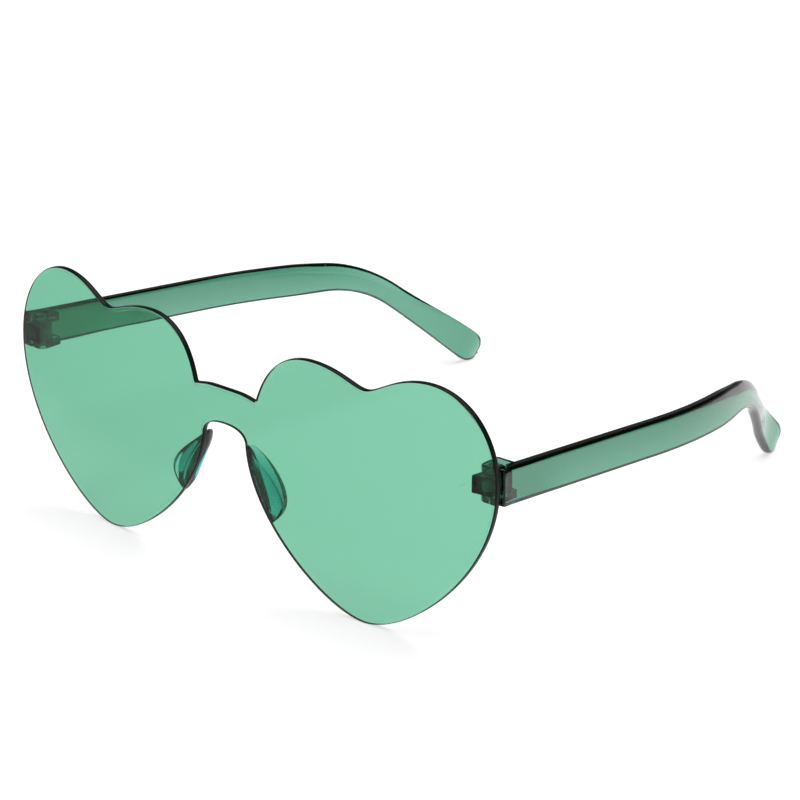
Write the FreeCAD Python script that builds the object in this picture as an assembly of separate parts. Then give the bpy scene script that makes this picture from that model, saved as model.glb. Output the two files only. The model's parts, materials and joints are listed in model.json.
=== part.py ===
import FreeCAD, Part
import math
import os

# Heart shaped one-piece sunglasses, in millimetres, standing open on the heart tips and the temple tips.
# X points to the wearer's left, Y from the lens back towards the ears, Z up from the table.
# The origin is on the table, in the middle of the whole length and width.

# Lens sheet
lens_width = 147.0
heart_height = 58.9
lens_thickness = 1.5
lens_front_radius = 454.0
lens_vertex_height = 19.9

# Half outline of the lens, seen from the front: distances from the middle and heights above the table
heart_tip_x = 40.0
widest_height = 38.6
outer_lobe_x = 55.6
cleft_x = 39.5
cleft_depth = 4.9
inner_lobe_x = 24.6
inner_lobe_drop = 1.8
bridge_half_width = 9.3
bridge_height = 44.9
bridge_corner_drop = 0.8
bridge_corner_angle = 74.0
nose_half_width = 6.5
nose_shoulder_height = 32.8
nose_arch_height = 36.5
nose_side_angle = 84.0

# Fullness of the outline's curves: how far a curve's handles reach along its span
round_fullness = 0.57
lobe_fullness = 0.52
cleft_fullness = 0.2
side_fullness = 0.53
tip_fullness = 0.315
nose_side_fullness = 0.51
nose_shoulder_fullness = 0.75

# Nose pads on the back of the lens
pad_top_height = 32.2
pad_bottom_height = 16.6
pad_edge_inset = 0.3
pad_width = 6.0
pad_depth = 3.6
pad_splay = 2.0
pad_end_setback = 1.4
pad_outer_draft = 0.5
pad_end_round = 0.9
pad_back_bevel = 0.6

# Hinges
hinge_inset = 3.9
hinge_height = 39.3
hinge_lens_gap = 0.6
knuckle_radius = 2.3
knuckle_height = 4.0
knuckle_side_clearance = 0.1
pocket_clearance = 0.3
bracket_foot_flare = 0.4
barrel_height = 7.9
lug_length = 3.9
lug_corner_round = 0.8
screw_radius = 0.7
screw_clearance = 0.05
screw_head_radius = 1.25
screw_head_height = 0.7
screw_head_sink = 0.1
screw_end_gap = 0.5
screw_slot_width = 0.35
screw_slot_depth = 0.3

# Temples, side view
arm_drop_angle = 5.8
arm_length = 102.8
arm_height = 8.2
arm_edge_round = 0.9
edge_round_steps = 3
bend_radius = 34.6
neck_start_reach = 21.5
neck_height = 6.0
ear_drop_angle = 40.7
ear_edge_round = 1.25
paddle_width = 8.1
paddle_end_length = 5.0
paddle_end_fullness = 2.6

# Temples, seen from above
temple_thickness = 3.2
temple_neck_thickness = 2.6
temple_tip_thickness = 2.7
temple_overhang = 0.5
temple_toe_in_angle = 1.2
temple_straight_length = 52.5
temple_bow_length = 67.4
temple_bow_radius = 147.0
temple_flare_radius = 38.0
temple_stop_gap = 0.15
gate_nub_radius = 0.4
gate_nub_length = 0.6


def vector(x, y, z):
    return FreeCAD.Vector(x, y, z)


def mirrored(shape):
    return shape.mirror(vector(0, 0, 0), vector(1, 0, 0))


# Places that follow from the sizes, with depth counted from the foremost point of the lens
def lens_back_depth(x, z):
    """How far the back of the lens lies behind its foremost point, at one place of the front view."""
    back_radius = lens_front_radius - lens_thickness
    return lens_front_radius - math.sqrt(back_radius ** 2 - x ** 2 - (z - lens_vertex_height) ** 2)


def paddle_extent(lengthwise, crosswise):
    """How far the paddle's rounded end, a superellipse, reaches from its centre in one direction."""
    power = paddle_end_fullness / (paddle_end_fullness - 1)
    length_share = (paddle_end_length * lengthwise) ** power
    width_share = (paddle_width / 2 * crosswise) ** power
    return (length_share + width_share) ** (1 / power)


half_width = lens_width / 2
hinge_x = half_width - hinge_inset
hinge_depth = lens_back_depth(hinge_x, hinge_height) + hinge_lens_gap + knuckle_radius
arm_angle = math.radians(arm_drop_angle)
ear_angle = math.radians(ear_drop_angle)
bend_turn = ear_angle - arm_angle
bend_reach = bend_radius * math.tan(bend_turn / 2)
bend_start = arm_length - bend_reach
neck_start = arm_length - neck_start_reach
neck_at = bend_start + bend_radius * bend_turn
neck_above_table = hinge_height - arm_length * math.sin(arm_angle) - bend_reach * math.sin(ear_angle)
paddle_rest = paddle_extent(math.sin(ear_angle), math.cos(ear_angle))
paddle_reach = paddle_extent(math.cos(ear_angle), math.sin(ear_angle))
ear_length = bend_reach + (neck_above_table - paddle_rest) / math.sin(ear_angle)
paddle_at = neck_at + ear_length - bend_reach
toe_depth = (hinge_depth + arm_length * math.cos(arm_angle) + ear_length * math.cos(ear_angle) + paddle_reach)
front_y = -toe_depth / 2
hinge_y = front_y + hinge_depth
temple_x = half_width + temple_overhang - temple_thickness / 2
lens_centre = vector(0, front_y + lens_front_radius, lens_vertex_height)


def ball_behind_lens(gap):
    """The space behind the lens's back, kept off it by a gap: pieces on the back are trimmed to it."""
    return Part.makeSphere(lens_front_radius - lens_thickness - gap, lens_centre)


# Lens sheet
inner_lobe_height = heart_height - inner_lobe_drop
cleft_height = heart_height - cleft_depth
bridge_corner_height = bridge_height - bridge_corner_drop


def leaning(start, length, angle):
    """A curve's handle: the point at a distance from its start, at an angle above the horizontal."""
    return (start[0] + length * math.cos(math.radians(angle)), start[1] + length * math.sin(math.radians(angle)))


def between(start, end, share):
    return start + share * (end - start)


bridge_crown = (0, bridge_height)
bridge_corner = (bridge_half_width, bridge_corner_height)
inner_top = (inner_lobe_x, inner_lobe_height)
cleft = (cleft_x, cleft_height)
outer_top = (outer_lobe_x, heart_height)
widest = (half_width, widest_height)
heart_tip = (heart_tip_x, 0)
nose_shoulder = (nose_half_width, nose_shoulder_height)
nose_arch = (0, nose_arch_height)
corner_handle = round_fullness * (inner_lobe_height - bridge_corner_height)
nose_handle = nose_side_fullness * nose_shoulder_height

# Each curve of the half outline: start, handle, handle, end
bridge_curve = [bridge_crown,
                (between(0, bridge_half_width, round_fullness), bridge_height),
                (between(0, bridge_half_width, round_fullness), bridge_height),
                bridge_corner]
inner_lobe_curve = [bridge_corner,
                    leaning(bridge_corner, corner_handle, bridge_corner_angle),
                    (between(inner_lobe_x, bridge_half_width, round_fullness), inner_lobe_height),
                    inner_top]
cleft_inner_curve = [inner_top,
                     (between(inner_lobe_x, cleft_x, lobe_fullness), inner_lobe_height),
                     (between(cleft_x, inner_lobe_x, cleft_fullness), cleft_height),
                     cleft]
cleft_outer_curve = [cleft,
                     (between(cleft_x, outer_lobe_x, cleft_fullness), cleft_height),
                     (between(outer_lobe_x, cleft_x, lobe_fullness), heart_height),
                     outer_top]
outer_lobe_curve = [outer_top,
                    (between(outer_lobe_x, half_width, round_fullness), heart_height),
                    (half_width, between(widest_height, heart_height, round_fullness)),
                    widest]
side_curve = [widest,
              (half_width, between(widest_height, 0, side_fullness)),
              (between(heart_tip_x, half_width, tip_fullness), 0),
              heart_tip]
nose_side_curve = [heart_tip,
                   (between(heart_tip_x, nose_half_width, tip_fullness), 0),
                   leaning(nose_shoulder, nose_handle, -nose_side_angle),
                   nose_shoulder]
nose_arch_curve = [nose_shoulder,
                   (nose_half_width, between(nose_shoulder_height, nose_arch_height, nose_shoulder_fullness)),
                   (between(0, nose_half_width, round_fullness), nose_arch_height),
                   nose_arch]
half_outline = [bridge_curve, inner_lobe_curve, cleft_inner_curve, cleft_outer_curve,
                outer_lobe_curve, side_curve, nose_side_curve, nose_arch_curve]


def front_curve(poles):
    curve = Part.BezierCurve()
    curve.setPoles([vector(x, front_y, z) for x, z in poles])
    return curve.toShape()


def lens_shield():
    """The outline cut straight through a shell between two spheres of one centre."""
    half = [front_curve(poles) for poles in half_outline]
    edges = half + [mirrored(edge) for edge in half]
    outline = Part.Face(Part.Wire(Part.__sortEdges__(edges)))
    blank = outline.extrude(vector(0, toe_depth / 2, 0))
    front_ball = Part.makeSphere(lens_front_radius, lens_centre)
    return blank.common(front_ball).cut(ball_behind_lens(0))


# Nose pads
def nose_edge_x(height):
    """Distance of the lens's nose edge from the middle at one height, found by halving along its curve."""
    low, high = 0.0, 1.0
    for _ in range(40):
        share = (low + high) / 2
        weights = ((1 - share) ** 3, 3 * share * (1 - share) ** 2, 3 * share ** 2 * (1 - share), share ** 3)
        x = sum(weight * pole[0] for weight, pole in zip(weights, nose_side_curve))
        z = sum(weight * pole[1] for weight, pole in zip(weights, nose_side_curve))
        low, high = (share, high) if z < height else (low, share)
    return x


def half_moon(depth, splay, setback, draft):
    """Outline of a pad at one depth: an arc along the nose edge and a fuller arc on the cheek side."""
    heights = (pad_top_height - setback, (pad_top_height + pad_bottom_height) / 2, pad_bottom_height + setback)
    edge = [nose_edge_x(height) + pad_edge_inset for height in heights]
    y = front_y + depth
    top, waist, bottom = [vector(x + splay, y, z) for x, z in zip(edge, heights)]
    cheek = vector(edge[1] + pad_width - draft, y, heights[1])
    return Part.Wire([Part.Arc(top, waist, bottom).toShape(), Part.Arc(bottom, cheek, top).toShape()])


def nose_pad():
    """A half-moon that splays away from the nose as it rises off the lens's back, with rounded ends."""
    back = lens_back_depth(nose_edge_x(pad_bottom_height) + pad_width, pad_top_height)
    crown = back + pad_depth
    base_outline = half_moon(back - lens_thickness, 0, 0, 0)
    crown_outline = half_moon(crown, pad_splay, pad_end_setback, pad_outer_draft)
    pad = Part.makeLoft([base_outline, crown_outline], True, True)
    ends = [edge for edge in pad.Edges if edge.BoundBox.YLength > pad_depth]
    pad = pad.makeFillet(pad_end_round, ends)
    rim = [edge for edge in pad.Edges if edge.BoundBox.YMin > front_y + crown - pad_back_bevel]
    pad = pad.makeChamfer(pad_back_bevel, rim)
    return pad.common(ball_behind_lens(0))


# Hinges
knuckle_bottom = hinge_height - knuckle_height / 2
barrel_bottom = hinge_height - barrel_height / 2
barrel_top = hinge_height + barrel_height / 2
slot_bottom = knuckle_bottom - knuckle_side_clearance
slot_top = knuckle_bottom + knuckle_height + knuckle_side_clearance
head_seat = barrel_top - screw_head_sink - screw_head_height


def upright(radius, bottom, top):
    """A cylinder on the hinge axis."""
    return Part.makeCylinder(radius, top - bottom, vector(hinge_x, hinge_y, bottom))


def block(low, high):
    """A box between two corners."""
    return Part.makeBox(high[0] - low[0], high[1] - low[1], high[2] - low[2], vector(*low))


def screw_hole():
    return upright(screw_radius + screw_clearance, barrel_bottom - arm_height, barrel_top + arm_height)


def hinge_bracket():
    """A flared foot bonded to the lens's back, which carries the middle knuckle."""
    plan = [(hinge_x + knuckle_radius, hinge_y),
            (hinge_x - knuckle_radius, hinge_y),
            (hinge_x - knuckle_radius - bracket_foot_flare, front_y),
            (hinge_x + knuckle_radius, front_y)]
    corners = [vector(x, y, knuckle_bottom) for x, y in plan]
    foot = Part.Face(Part.makePolygon(corners + corners[:1])).extrude(vector(0, 0, knuckle_height))
    knuckle = upright(knuckle_radius, knuckle_bottom, knuckle_bottom + knuckle_height)
    return foot.fuse(knuckle).removeSplitter().common(ball_behind_lens(0)).cut(screw_hole())


def hinge_screw():
    """A slotted cheese-head screw, whose head sits in the upper lug."""
    shank = upright(screw_radius, barrel_bottom + screw_end_gap, head_seat)
    head_top = head_seat + screw_head_height
    head = upright(screw_head_radius, head_seat, head_top)
    slot = block((hinge_x - screw_head_radius, hinge_y - screw_slot_width / 2, head_top - screw_slot_depth),
                 (hinge_x + screw_head_radius, hinge_y + screw_slot_width / 2, head_top))
    return shank.fuse(head).removeSplitter().cut(slot)


# Temples
def mid_line(along):
    """Side view of a temple's middle line: depth, height and drop angle at one distance from the hinge."""
    straight = min(along, bend_start)
    angle = arm_angle + min(max(along - bend_start, 0), neck_at - bend_start) / bend_radius
    ear = max(along - neck_at, 0)
    depth = hinge_depth + straight * math.cos(arm_angle) + ear * math.cos(ear_angle)
    depth += bend_radius * (math.sin(angle) - math.sin(arm_angle))
    height = hinge_height - straight * math.sin(arm_angle) - ear * math.sin(ear_angle)
    height -= bend_radius * (math.cos(arm_angle) - math.cos(angle))
    return depth, height, angle


def plan_line(depth):
    """Plan of a temple's middle line: distance from the middle plane, and inward turn, at one depth.

    The arm toes in a little, bows further in on one arc and flares out again on a tighter one.
    """
    reach = depth - hinge_depth
    toe_in = math.radians(temple_toe_in_angle)
    bowed = min(max(reach - temple_straight_length, 0), temple_bow_length)
    flared = max(reach - temple_straight_length - temple_bow_length, 0)
    bow_turn = math.asin(math.sin(toe_in) + bowed / temple_bow_radius)
    turn = math.asin(math.sin(bow_turn) - flared / temple_flare_radius)
    x = temple_x - min(reach, temple_straight_length) * math.tan(toe_in)
    x -= temple_bow_radius * (math.cos(toe_in) - math.cos(bow_turn))
    x -= temple_flare_radius * (math.cos(turn) - math.cos(bow_turn))
    return x, turn


def ease(along, start, end, first, last):
    """A size that goes smoothly from first to last between two distances from the hinge."""
    share = min(max((along - start) / (end - start), 0), 1)
    return between(first, last, share * share * (3 - 2 * share))


def rounded_rectangle(half_wide, half_tall, radius):
    """A closed polygon in the XY plane, with each corner's round drawn as a few short chords."""
    corners = []
    for side_x, side_y, turn in ((1, 1, 0), (-1, 1, 90), (-1, -1, 180), (1, -1, 270)):
        for step in range(edge_round_steps + 1):
            angle = math.radians(turn + 90 * step / edge_round_steps)
            corners.append(vector(side_x * (half_wide - radius) + radius * math.cos(angle),
                                  side_y * (half_tall - radius) + radius * math.sin(angle), 0))
    return Part.makePolygon(corners + corners[:1])


def temple_section(along, end_share):
    """Section across a temple at one distance from the hinge; end_share draws it in over the rounded end."""
    depth, height, angle = mid_line(along)
    x, turn = plan_line(depth)
    across = vector(math.cos(turn), math.sin(turn), 0)
    forward = vector(-math.sin(turn) * math.cos(angle), math.cos(turn) * math.cos(angle), -math.sin(angle))
    upward = across.cross(forward)
    centre = vector(x, front_y + depth, height)
    tall = ease(along, neck_start, neck_at, arm_height, neck_height)
    tall += ease(along, neck_at, paddle_at, 0, paddle_width - neck_height)
    thick = ease(along, neck_start, neck_at, temple_thickness, temple_neck_thickness)
    thick += ease(along, neck_at, paddle_at, 0, temple_tip_thickness - temple_neck_thickness)
    half_tall = tall / 2 * (1 - end_share ** paddle_end_fullness) ** (1 / paddle_end_fullness)
    half_thick = thick / 2 * (1 - end_share ** 2) ** 0.25
    rounding = ease(along, neck_start, bend_start, arm_edge_round, ear_edge_round)
    wire = rounded_rectangle(half_thick, half_tall, min(rounding, 0.9 * min(half_tall, half_thick)))
    wire.Placement = FreeCAD.Placement(FreeCAD.Matrix(across.x, upward.x, forward.x, centre.x,
                                                      across.y, upward.y, forward.y, centre.y,
                                                      across.z, upward.z, forward.z, centre.z))
    return wire


def temple_arm():
    """A straight arm, then a loft through the bow, the bend and the ear piece to the rounded paddle end."""
    bow_start = temple_straight_length / math.cos(arm_angle)
    arm = Part.makeLoft([temple_section(-hinge_depth, 0), temple_section(bow_start, 0)], True, True)
    stations = [(bow_start, 0)]
    stations += [(between(bow_start, neck_start, share), 0) for share in (0.25, 0.5, 0.75, 1)]
    stations += [(between(neck_start, neck_at, share), 0) for share in (0.25, 0.5, 0.75, 1)]
    stations += [(between(neck_at, paddle_at, share), 0) for share in (0.33, 0.67, 1)]
    stations += [(paddle_at + paddle_end_length * share, share) for share in (0.4, 0.7, 0.9, 0.98)]
    ear = Part.makeLoft([temple_section(along, share) for along, share in stations], True, False)
    return arm.fuse(ear).removeSplitter()


def hinge_lug(bottom, top):
    """A lug on the arm's inner face: a barrel about the hinge axis that runs back into a block."""
    body = block((hinge_x - knuckle_radius, hinge_y, bottom), (temple_x, hinge_y + lug_length, top))
    corner = [edge for edge in body.Edges
              if edge.BoundBox.ZLength > (top - bottom) / 2
              and edge.BoundBox.XMax < hinge_x and edge.BoundBox.YMin > hinge_y + lug_length / 2]
    body = body.makeFillet(lug_corner_round, corner)
    return body.fuse(upright(knuckle_radius, bottom, top))


def knuckle_pocket():
    """Room in the arm for the bracket's knuckle and foot: round at the back and open towards the lens."""
    reach = knuckle_radius + pocket_clearance
    mouth = block((hinge_x, front_y, slot_bottom), (hinge_x + reach, hinge_y, slot_top))
    return upright(reach, slot_bottom, slot_top).fuse(mouth)


def gate_nub():
    """The stub that the moulding gate leaves on the very end of the paddle."""
    along = paddle_at + paddle_end_length
    wire = temple_section(along - gate_nub_length, 0)
    forward = wire.Placement.Rotation.multVec(vector(0, 0, 1))
    return Part.makeCylinder(gate_nub_radius, 2 * gate_nub_length, wire.Placement.Base, forward)


def temple():
    lugs = [hinge_lug(barrel_bottom, slot_bottom), hinge_lug(slot_top, barrel_top)]
    solid = temple_arm().fuse(lugs + [gate_nub()]).removeSplitter()
    head_room = upright(screw_head_radius + screw_clearance, head_seat, barrel_top + arm_height)
    solid = solid.cut(knuckle_pocket().fuse([screw_hole(), head_room]))
    return solid.common(ball_behind_lens(temple_stop_gap))


os.makedirs("parts", exist_ok=True)
lens_shield().exportStep("parts/lens_shield.step")
paired = {
    "nose_pad": nose_pad(),
    "hinge_bracket": hinge_bracket(),
    "temple": temple(),
    "hinge_screw": hinge_screw(),
}
for name, left in paired.items():
    left.exportStep(f"parts/left_{name}.step")
    mirrored(left).exportStep(f"parts/right_{name}.step")
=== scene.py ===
import json
import math

import bpy
import numpy as np
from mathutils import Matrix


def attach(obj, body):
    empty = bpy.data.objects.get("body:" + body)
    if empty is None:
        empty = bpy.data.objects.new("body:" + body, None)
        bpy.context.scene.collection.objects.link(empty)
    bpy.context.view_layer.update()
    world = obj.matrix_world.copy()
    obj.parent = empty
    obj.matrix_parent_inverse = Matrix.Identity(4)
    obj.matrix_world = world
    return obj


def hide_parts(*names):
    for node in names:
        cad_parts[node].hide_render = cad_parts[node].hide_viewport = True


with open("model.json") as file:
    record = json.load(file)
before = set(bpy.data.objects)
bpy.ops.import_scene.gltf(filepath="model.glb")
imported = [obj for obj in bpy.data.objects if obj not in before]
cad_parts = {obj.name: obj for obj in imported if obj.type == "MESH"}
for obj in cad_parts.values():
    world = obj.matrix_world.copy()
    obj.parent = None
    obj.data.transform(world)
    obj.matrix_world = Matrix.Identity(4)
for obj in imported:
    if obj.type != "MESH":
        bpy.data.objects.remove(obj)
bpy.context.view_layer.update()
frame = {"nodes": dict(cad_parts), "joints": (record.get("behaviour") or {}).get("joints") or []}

# Heart shaped one-piece sunglasses of clear green plastic, standing open on a white table.
# Lengths are in millimetres and MM makes them metres, unless a heading says otherwise. X points to the
# wearer's left, Y from the lens towards the ears, Z up from the table. Pieces are worked out for the left
# side and mirrored for the right.
MM = 0.001

# Lens sheet
half_width = 73.5
heart_height = 58.9
lens_thickness = 1.5
lens_front_radius = 454.0
lens_vertex_height = 19.9
lens_front_round = 0.35
lens_back_round = 0.35
lens_step = 0.06
lens_rim_band = 1.2
lens_rim_shoulder = 0.08

# Half outline of the lens: distances from the middle and heights above the table
heart_tip_x = 40.0
widest_height = 38.6
outer_lobe_x = 55.6
cleft_x = 39.5
cleft_depth = 4.9
inner_lobe_x = 24.6
inner_lobe_drop = 1.8
bridge_half_width = 9.3
bridge_height = 44.9
bridge_corner_drop = 0.8
bridge_corner_angle = 74.0
bridge_corner_soft = 0.5
nose_half_width = 6.5
nose_shoulder_height = 32.8
nose_arch_height = 36.5
nose_side_angle = 84.0

# Fullness of the outline's curves: how far a curve's handles reach along its span
round_fullness = 0.57
lobe_fullness = 0.52
cleft_fullness = 0.2
side_fullness = 0.53
tip_fullness = 0.315
nose_side_fullness = 0.51
nose_shoulder_fullness = 0.75

# Grid of the lens: its outline's spacing, its middle line's drawn-in ends, how near a sphere its points lie
outline_spacing = 0.05
spine_end_pull = 0.12
spine_end_power = 6
sphere_tolerance = 0.002

# Nose pads
pad_top_height = 33.1
pad_bottom_height = 16.6
pad_edge_inset = 0.1
pad_width = 7.2
pad_depth = 4.6
pad_nose_depth = 3.6
pad_foot_depth = 0.5
pad_splay = 1.9
pad_outer_draft = 2.8
pad_foot_width = 1.6
pad_edge_round = 0.6
pad_foot_round = 1.3
pad_widest_share = 0.55
pad_leaf_power = 1.15
pad_top_fullness = 2.3
pad_bottom_fullness = 1.7

# Hinges
hinge_lens_gap = 0.6
knuckle_radius = 2.3
knuckle_height = 4.0
knuckle_side_clearance = 0.1
pocket_clearance = 0.3
bracket_foot_flare = 0.4
barrel_height = 7.9
lug_length = 3.9
lug_corner_round = 0.8
hinge_edge_round = 0.18
cut_edge_round = 0.05
screw_hole_radius = 0.75
screw_head_hole_radius = 1.3
screw_head_seat = 0.8

# Temples, side view
arm_drop_angle = 5.8
arm_length = 102.8
arm_height = 8.2
arm_edge_round = 0.9
under_edge_round = 0.15
bend_radius = 34.6
bend_edge_stretch = 2.8
bend_stretch_lead = 45.0
bend_stretch_tail = 8.0
neck_start_reach = 21.5
neck_height = 6.0
ear_drop_angle = 40.7
ear_edge_round = 1.25
paddle_width = 8.1
paddle_edge_round = 0.35
paddle_end_length = 5.0
paddle_end_fullness = 2.6
paddle_tip_power = 0.25
paddle_last_ring = 0.96

# Temples, seen from above
temple_thickness = 3.2
temple_neck_thickness = 2.6
temple_tip_thickness = 2.7
temple_overhang = 0.5
temple_toe_in_angle = 1.2
temple_straight_length = 52.5
temple_bow_length = 67.4
temple_bow_radius = 147.0
temple_flare_radius = 38.0
temple_front_round = 0.35
temple_stop_gap = 0.15
temple_wedge = 0.7
wedge_start = 9.0
wedge_full = 24.0
arm_first_ring = 1.0
butt_section_depth = 1.0
butt_face_insets = [1.2, 0.7]
gate_nub_radius = 0.4
gate_nub_length = 0.6

# Edges of the temple's sections: the fullest round and the place of the rows that hold the flat faces
fullest_round_share = 0.95
edge_support_share = 0.3
smooth_angle = 35.0

# How deep the bonded feet sit in the lens's back; the bracket's foot is flat and sits deeper
bond_depth = 0.05
bracket_bond_depth = 3 * bond_depth

# Moulded skin: a ripple, in waves per metre, and the ring that an ejector pin leaves
ripple_scale = 60.0
ripple_detail = 1
skin_depth = 0.4
skin_strength = 0.2
mark_radius = 0.7
mark_half_line = 0.12
mark_rise = 0.1
mark_reach = 6.0
mark_height = 2.2

# Turned rings on the screws
ring_pitch = 0.1
ring_depth = 0.02
ring_strength = 0.3
ring_smoothest = 0.24
ring_roughest = 0.4

# Light lost in a millimetre of plastic, in red, green and blue
lens_tint = (1.04, 0.42, 0.655)
temple_tint = (0.82, 0.41, 0.54)
pad_tint = (0.72, 0.18, 0.19)
bracket_tint = (1.2, 0.55, 0.68)
density_margin = 1.02

# Surfaces
plastic_ior = 1.55
polished_roughness = 0.0
bracket_roughness = 0.02
# Painted shade: the lens's rim is coloured opaque and nearly black, in place of the darkness that light gives
# crossing the dyed plastic
rim_shade_colour = (0.01, 0.016, 0.013, 1)
edge_roughness = 0.3
edge_specular = 0.15
steel_colour = (0.6, 0.6, 0.58, 1)

# Table, with its lengths in metres, and how far the eye, glass and mirrors see it lifted to white
table_radius = 6.0
table_sides = 64
table_colour = (0.82, 0.82, 0.82, 1)
table_roughness = 0.9
eye_lift = 0.68
glass_lift = 0.77
mirror_lift = 0.8
mirror_lift_none_y = -0.105
mirror_lift_full_y = -0.065

# Room, by how far a look's direction rises, and soft box, in metres and watts
room_level_light = 0.4
room_upper_light = 0.02
room_upper_rise = 0.3
soft_box_size = 1.6
soft_box_power = 14.5
soft_box_place = (0.1, 0.2, 1.3)

# Camera, with its places given from the lens's foremost point and the table
eye_place = (427.65, -420.2, 276.25)
aim_place = (16.98, 39.8, 35.2)
sensor_width = 36
focal_length = 131.3
clip_start = 10.0

# Places that follow from the sizes and the frame
left_fold = next(joint for joint in frame["joints"] if joint["child"] == "left_temple")
hinge_x, hinge_y, hinge_height = np.array(left_fold["pos_m"]) / MM


def lens_depth(x, z, behind):
    """Depth of the lens's sphere behind its foremost point, a distance behind the front face."""
    radius = lens_front_radius - behind
    return lens_front_radius - np.sqrt(radius ** 2 - x ** 2 - (z - lens_vertex_height) ** 2)


hinge_depth = lens_depth(hinge_x, hinge_height, lens_thickness) + hinge_lens_gap + knuckle_radius
front_y = hinge_y - hinge_depth
barrel_bottom = hinge_height - barrel_height / 2
barrel_top = hinge_height + barrel_height / 2
knuckle_bottom = hinge_height - knuckle_height / 2
knuckle_top = hinge_height + knuckle_height / 2
slot_bottom = knuckle_bottom - knuckle_side_clearance
slot_top = knuckle_top + knuckle_side_clearance
temple_x = half_width + temple_overhang - temple_thickness / 2


# Curves and sections
def ease(value, start, end, first, last):
    """Goes from first to last between two places, on a cubic with level ends."""
    share = np.clip((value - start) / (end - start), 0, 1)
    return first + (last - first) * share * share * (3 - 2 * share)


def directions(angle):
    """Plane unit vectors at given angles: their cosines and sines."""
    return np.stack([np.cos(angle), np.sin(angle)], axis=1)


def along_path(where, measure, points):
    """Points of a plane path, read off in straight runs where a measure along it has given values."""
    return np.stack([np.interp(where, measure, points[:, axis]) for axis in (0, 1)], axis=1)


def quarter_round(radius, count):
    """Insets and rises of a quarter round, from face to wall: a radius less its sines, or its cosines."""
    angle = np.linspace(0, math.pi / 2, count)
    return radius * (1 - np.sin(angle)), radius * (1 - np.cos(angle))


def behind_front(plan, depth):
    """Points in space, from a plan of distances and heights and depths behind the lens's foremost point."""
    return np.stack([plan[..., 0], front_y + depth, plan[..., 1]], axis=-1)


# Grids and pieces
def ring_quads(rows, columns):
    """Quads between the neighbouring rows of a grid whose columns close into a ring."""
    row = np.arange(rows - 1)[:, None] * columns
    here = np.arange(columns)[None, :]
    after = np.roll(here, -1, axis=1)
    corners = [row + here, row + after, row + columns + after, row + columns + here]
    return np.stack(corners, axis=-1).reshape(-1, 4)


def rows_to_mesh(rows, poles=None):
    """Vertices and faces of stacked rings. Poles, where given, close the first and last ring with fans."""
    count, columns = rows.shape[:2]
    vertices = rows.reshape(-1, 3)
    faces = ring_quads(count, columns).tolist()
    if poles:
        vertices = np.vstack([vertices, poles])
        here = np.arange(columns)
        after = np.roll(here, -1)
        first = np.full(columns, count * columns)
        last = (count - 1) * columns
        faces += np.stack([first, after, here], axis=-1).tolist()
        faces += np.stack([first + 1, last + here, last + after], axis=-1).tolist()
    return vertices, faces


def welded(vertices, faces):
    """Joins vertices that share a place, to a ten-thousandth of a millimetre."""
    kept, number = np.unique(np.round(vertices, 4), axis=0, return_inverse=True)
    return kept, number.reshape(-1)[np.array(faces)].tolist()


def outward(vertices, faces):
    """The faces turned outwards, by the sign of the volume that they hold."""
    fans = np.array([[face[0], face[i], face[i + 1]] for face in faces for i in range(1, len(face) - 1)])
    corners = vertices[fans]
    volume = np.einsum("ij,ij->", corners[:, 0], np.cross(corners[:, 1], corners[:, 2]))
    return faces if volume > 0 else [face[::-1] for face in faces]


def mesh_object(name, meshes, side=1):
    """One object at the origin from closed meshes of the left side, mirrored where side is -1."""
    points, polygons, start = [], [], 0
    for vertices, faces in meshes:
        placed = vertices * np.array([side, 1, 1])
        points.append(placed)
        polygons += [[start + corner for corner in face] for face in outward(placed, faces)]
        start += len(placed)
    mesh = bpy.data.meshes.new(name)
    mesh.from_pydata(np.vstack(points) * MM, [], polygons)
    mesh.update()
    mesh.polygons.foreach_set("use_smooth", np.ones(len(mesh.polygons), bool))
    obj = bpy.data.objects.new(name, mesh)
    bpy.context.scene.collection.objects.link(obj)
    return obj


def combine(obj, tool, operation):
    """Joins a tool to a piece or cuts it away, and keeps the result as the piece's own mesh."""
    modifier = obj.modifiers.new(operation, "BOOLEAN")
    modifier.operation = operation
    modifier.solver = "EXACT"
    modifier.use_self = True
    modifier.object = tool
    bpy.context.view_layer.update()
    result = bpy.data.meshes.new_from_object(obj.evaluated_get(bpy.context.evaluated_depsgraph_get()))
    obj.modifiers.clear()
    obj.data = result
    bpy.data.objects.remove(tool)


def place(obj, finishes, node, body):
    """Gives a piece its finishes, and sets it in place of a CAD node on that node's body."""
    slots = np.zeros(len(obj.data.polygons), np.int32)
    obj.data.polygons.foreach_get("material_index", slots)
    obj.data.materials.clear()
    for finish in finishes:
        obj.data.materials.append(finish)
    obj.data.polygons.foreach_set("material_index", slots)
    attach(obj, body)
    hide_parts(node)


# Outline of the lens
def bezier(poles, count=500):
    """A cubic curve: its four poles weighted by the Bernstein terms of a share from 0 to 1."""
    share = np.linspace(0, 1, count)[:, None]
    start, first, second, end = np.array(poles, float)
    return ((1 - share) ** 3 * start + 3 * share * (1 - share) ** 2 * first
            + 3 * share ** 2 * (1 - share) * second + share ** 3 * end)


def between(start, end, share):
    """The value at a share of the way from a start to an end."""
    return start + share * (end - start)


def leaning(start, length, angle):
    """The point at a distance from a start, at an angle above the horizontal."""
    turn = math.radians(angle)
    return (start[0] + length * math.cos(turn), start[1] + length * math.sin(turn))


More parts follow.
